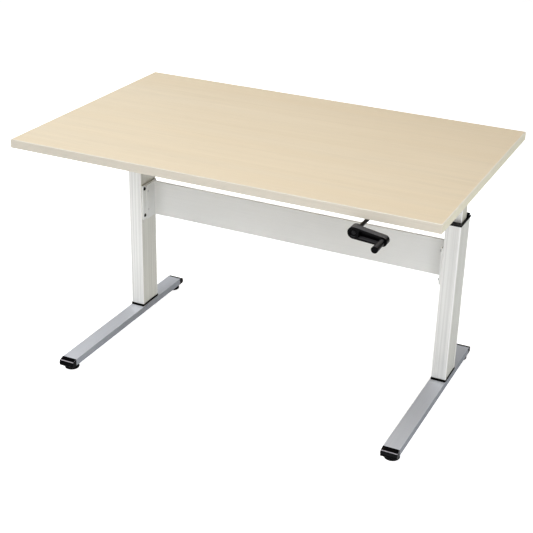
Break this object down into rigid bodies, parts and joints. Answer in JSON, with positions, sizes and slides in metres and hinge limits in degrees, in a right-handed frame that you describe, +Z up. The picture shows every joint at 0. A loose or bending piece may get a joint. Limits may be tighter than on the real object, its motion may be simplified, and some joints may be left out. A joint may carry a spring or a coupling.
{
  "type": "crank-adjustable work table",
  "caption": "Rectangular laminate tabletop on two telescopic columns with floor runners, a rear crossbeam and a folding hand crank that raises and lowers the top.",
  "frame": {"origin": "centre of the whole footprint, crank grip included, at floor level", "axes": "+Z up, +X along the table's length towards the crank's end, -Y towards the seated user"},
  "size_m": [1.2, 0.826, 0.71],
  "materials": {
    "maple_laminate": "light maple laminate with a fine straight grain along the length, satin",
    "edge_band": "pale edge band, satin",
    "column_aluminium": "silver-white satin lacquer on extruded aluminium",
    "foot_enamel": "silver-grey powder coat, satin",
    "beam_enamel": "silver-grey powder coat, satin",
    "black_plastic": "black moulded plastic, fine satin",
    "grip_plastic": "black smooth plastic, semi-gloss",
    "gasket_rubber": "black moulded rubber, matt",
    "black_steel": "black oxide on steel, satin",
    "zinc_steel": "bright zinc plate",
    "nut_brass": "machined brass"
  },
  "bodies": {
    "base": {"left_foot_tube": "foot_enamel", "right_foot_tube": "foot_enamel", "left_front_foot_cap": "black_plastic", "left_rear_foot_cap": "black_plastic", "right_front_foot_cap": "black_plastic", "right_rear_foot_cap": "black_plastic", "foot_stiffeners": "zinc_steel", "column_foot_bolts": "zinc_steel", "column_gaskets": "gasket_rubber", "left_outer_column": "column_aluminium", "right_outer_column": "column_aluminium", "left_column_collar": "black_plastic", "right_column_collar": "black_plastic", "left_nut_tube": "zinc_steel", "right_nut_tube": "zinc_steel", "spindle_nuts": "nut_brass", "crossbeam": "beam_enamel", "left_beam_bracket": "beam_enamel", "right_beam_bracket": "beam_enamel", "bracket_spacers": "black_steel", "bracket_screws": "black_steel", "beam_tab_screws": "zinc_steel"},
    "lift": {"tabletop_board": "maple_laminate", "front_edge_band": "edge_band", "rear_edge_band": "edge_band", "left_edge_band": "edge_band", "right_edge_band": "edge_band", "left_inner_column": "column_aluminium", "right_inner_column": "column_aluminium", "left_lower_glide": "black_plastic", "right_lower_glide": "black_plastic", "left_support_rail": "zinc_steel", "right_support_rail": "zinc_steel", "underside_screws": "zinc_steel", "left_gearbox_case": "black_plastic", "left_gearbox_lid": "black_plastic", "right_gearbox_case": "black_plastic", "right_gearbox_lid": "black_plastic", "crank_gearbox_case": "black_plastic", "crank_gearbox_lid": "black_plastic", "gearbox_screws": "zinc_steel", "screw_thrust_bearings": "zinc_steel", "crank_shaft_hanger": "black_plastic"},
    "left_spindle": {"left_lead_screw": "zinc_steel", "left_screw_gear": "zinc_steel"},
    "right_spindle": {"right_lead_screw": "zinc_steel", "right_screw_gear": "zinc_steel"},
    "cross_shaft": {"sync_shaft": "zinc_steel", "sync_bevel_gears": "zinc_steel"},
    "crank": {"crank_shaft": "black_steel", "crank_bevel_gear": "zinc_steel", "crank_arm": "black_plastic", "crank_hub_screw": "black_steel", "grip_hinge_pin": "zinc_steel"},
    "grip_core": {"grip_spindle": "black_plastic"},
    "grip": {"grip_sleeve": "grip_plastic"},
    "glide_left_front": {"left_front_glide": "black_plastic"},
    "glide_left_rear": {"left_rear_glide": "black_plastic"},
    "glide_right_front": {"right_front_glide": "black_plastic"},
    "glide_right_rear": {"right_rear_glide": "black_plastic"}
  },
  "joints": [
    {"name": "height_slide", "type": "slide", "parent": "base", "child": "lift", "axis": [0, 0, 1], "range_m": [-0.11, 0.19]},
    {"name": "crank_turn", "type": "hinge", "parent": "lift", "child": "crank", "pos_m": [0.395, 0.038, 0.6565], "axis": [0, 1, 0], "range_deg": [-8280, 13680]},
    {"name": "cross_shaft_turn", "type": "hinge", "parent": "lift", "child": "cross_shaft", "pos_m": [0, 0.158, 0.6565], "axis": [1, 0, 0], "range_deg": [-13680, 8280]},
    {"name": "left_spindle_turn", "type": "hinge", "parent": "lift", "child": "left_spindle", "pos_m": [-0.5005, 0.158, 0.6565], "axis": [0, 0, 1], "range_deg": [-13680, 8280]},
    {"name": "right_spindle_turn", "type": "hinge", "parent": "lift", "child": "right_spindle", "pos_m": [0.5005, 0.158, 0.6565], "axis": [0, 0, 1], "range_deg": [-8280, 13680]},
    {"name": "grip_fold", "type": "hinge", "parent": "crank", "child": "grip_core", "pos_m": [0.46736, -0.357, 0.64851], "axis": [-0.1097, 0, -0.994], "range_deg": [0, 90]},
    {"name": "grip_spin", "type": "hinge", "parent": "grip_core", "child": "grip", "pos_m": [0.46736, -0.357, 0.64851], "axis": [0, -1, 0], "continuous": true},
    {"name": "glide_left_front_screw", "type": "slide", "parent": "base", "child": "glide_left_front", "axis": [0, 0, -1], "range_m": [0, 0.01]},
    {"name": "glide_left_rear_screw", "type": "slide", "parent": "base", "child": "glide_left_rear", "axis": [0, 0, -1], "range_m": [0, 0.01]},
    {"name": "glide_right_front_screw", "type": "slide", "parent": "base", "child": "glide_right_front", "axis": [0, 0, -1], "range_m": [0, 0.01]},
    {"name": "glide_right_rear_screw", "type": "slide", "parent": "base", "child": "glide_right_rear", "axis": [0, 0, -1], "range_m": [0, 0.01]}
  ],
  "couplings": [
    {"joint": "crank_turn", "follows": "height_slide", "rad_per_m": 1256.6},
    {"joint": "cross_shaft_turn", "follows": "height_slide", "rad_per_m": -1256.6},
    {"joint": "left_spindle_turn", "follows": "height_slide", "rad_per_m": -1256.6},
    {"joint": "right_spindle_turn", "follows": "height_slide", "rad_per_m": 1256.6}
  ]
}
